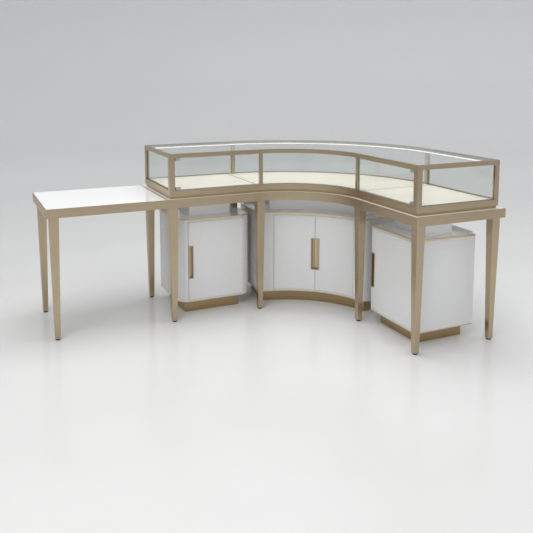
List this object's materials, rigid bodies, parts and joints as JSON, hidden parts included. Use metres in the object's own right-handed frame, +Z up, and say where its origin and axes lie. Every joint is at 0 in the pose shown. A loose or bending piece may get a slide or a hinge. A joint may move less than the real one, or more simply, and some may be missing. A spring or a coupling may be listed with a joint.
{
  "type": "checkout counter",
  "caption": "Curved jewellery display and checkout counter: metal-framed table with a glass showcase, white cabinets with hinged doors beneath, and a plain side table for the till.",
  "frame": {"origin": "floor level, at the middle of the whole counter's bounding box", "axes": "+X along the straight side table and left arm, towards the corner; +Y from the staff side to the customers' side; +Z up"},
  "size_m": [2.135, 1.495, 0.95],
  "materials": {
    "champagne_steel": "brushed champagne gold, horizontal grain on bands, vertical on legs",
    "champagne_aluminium": "brushed champagne gold",
    "dark_champagne": "brushed, darker champagne",
    "white_tabletop": "gloss white lacquer on board",
    "white_lacquer": "gloss white lacquer on board",
    "cream_leather": "fine grain, matt",
    "plain_wood": "raw plywood",
    "clear_glass": "polished clear glass",
    "black_plastic": "matt black",
    "grey_painted_steel": "powder coated grey",
    "nickel_hardware": "nickel plated",
    "led_diffuser": "opal diffuser",
    "driver_case": "satin case"
  },
  "bodies": {
    "counter": {"cabinet_base_trims": "champagne_steel", "cabinet_body_corner": "white_lacquer", "cabinet_body_left": "white_lacquer", "cabinet_body_right": "white_lacquer", "cabinet_hinge_arms": "nickel_hardware", "cabinet_plinths": "dark_champagne", "cabinet_risers": "white_lacquer", "cabinet_shelves": "white_lacquer", "cabinet_top_corner": "white_lacquer", "cabinet_top_left": "white_lacquer", "cabinet_top_right": "white_lacquer", "cabinet_top_trims": "champagne_steel", "corner_legs": "champagne_steel", "deck_bearers": "plain_wood", "deck_panel_corner": "cream_leather", "deck_panel_left": "cream_leather", "deck_panel_right": "cream_leather", "glass_corner_outer": "clear_glass", "glass_corner_staff": "clear_glass", "glass_end_left": "clear_glass", "glass_end_right": "clear_glass", "glass_outer_left": "clear_glass", "glass_outer_right": "clear_glass", "glass_top": "clear_glass", "led_driver": "driver_case", "led_light_bar": "led_diffuser", "left_arm_legs": "champagne_steel", "leg_bolts": "nickel_hardware", "leg_glides": "black_plastic", "leg_plates": "champagne_steel", "main_table_band": "champagne_steel", "main_table_subframe": "grey_painted_steel", "main_table_top": "white_tabletop", "right_arm_legs": "champagne_steel", "shelf_pins": "nickel_hardware", "showcase_base_strip": "dark_champagne", "showcase_bottom_rail": "champagne_aluminium", "showcase_posts": "champagne_aluminium", "showcase_top_rail": "champagne_aluminium", "side_table_band": "champagne_steel", "side_table_legs": "champagne_steel", "side_table_subframe": "grey_painted_steel", "side_table_top": "white_tabletop", "table_joint_strip": "champagne_steel"},
    "cabinet_door_left": {"cabinet_door_left": "white_lacquer", "door_pull_left": "champagne_steel", "door_hinge_cups_left": "nickel_hardware"},
    "cabinet_door_corner_left": {"cabinet_door_corner_left": "white_lacquer", "door_pull_corner_left": "champagne_steel", "door_hinge_cups_corner_left": "nickel_hardware"},
    "cabinet_door_corner_right": {"cabinet_door_corner_right": "white_lacquer", "door_pull_corner_right": "champagne_steel", "door_hinge_cups_corner_right": "nickel_hardware"},
    "cabinet_door_right": {"cabinet_door_right": "white_lacquer", "door_pull_right": "champagne_steel", "door_hinge_cups_right": "nickel_hardware"},
    "showcase_door_left": {"glass_door_left": "clear_glass", "glass_door_pivots_left": "nickel_hardware"},
    "showcase_door_right": {"glass_door_right": "clear_glass", "glass_door_pivots_right": "nickel_hardware"}
  },
  "joints": [
    {"name": "left_cabinet_door_hinge", "type": "hinge", "parent": "counter", "child": "cabinet_door_left", "pos_m": [0.0685, 0.3295, 0.305], "axis": [0, 0, 1], "range_deg": [0, 90]},
    {"name": "corner_left_door_hinge", "type": "hinge", "parent": "counter", "child": "cabinet_door_corner_left", "pos_m": [0.26265, 0.31121, 0.305], "axis": [0, 0, -1], "range_deg": [0, 90]},
    {"name": "corner_right_door_hinge", "type": "hinge", "parent": "counter", "child": "cabinet_door_corner_right", "pos_m": [0.61783, -0.01712, 0.305], "axis": [0, 0, 1], "range_deg": [0, 90]},
    {"name": "right_cabinet_door_hinge", "type": "hinge", "parent": "counter", "child": "cabinet_door_right", "pos_m": [0.6095, -0.6295, 0.305], "axis": [0, 0, 1], "range_deg": [0, 90]},
    {"name": "left_glass_door_pivot", "type": "hinge", "parent": "counter", "child": "showcase_door_left", "pos_m": [-0.3645, 0.2155, 0.837], "axis": [0, 0, -1], "range_deg": [0, 90]},
    {"name": "right_glass_door_pivot", "type": "hinge", "parent": "counter", "child": "showcase_door_right", "pos_m": [0.5355, -0.6795, 0.837], "axis": [0, 0, 1], "range_deg": [0, 90]}
  ]
}
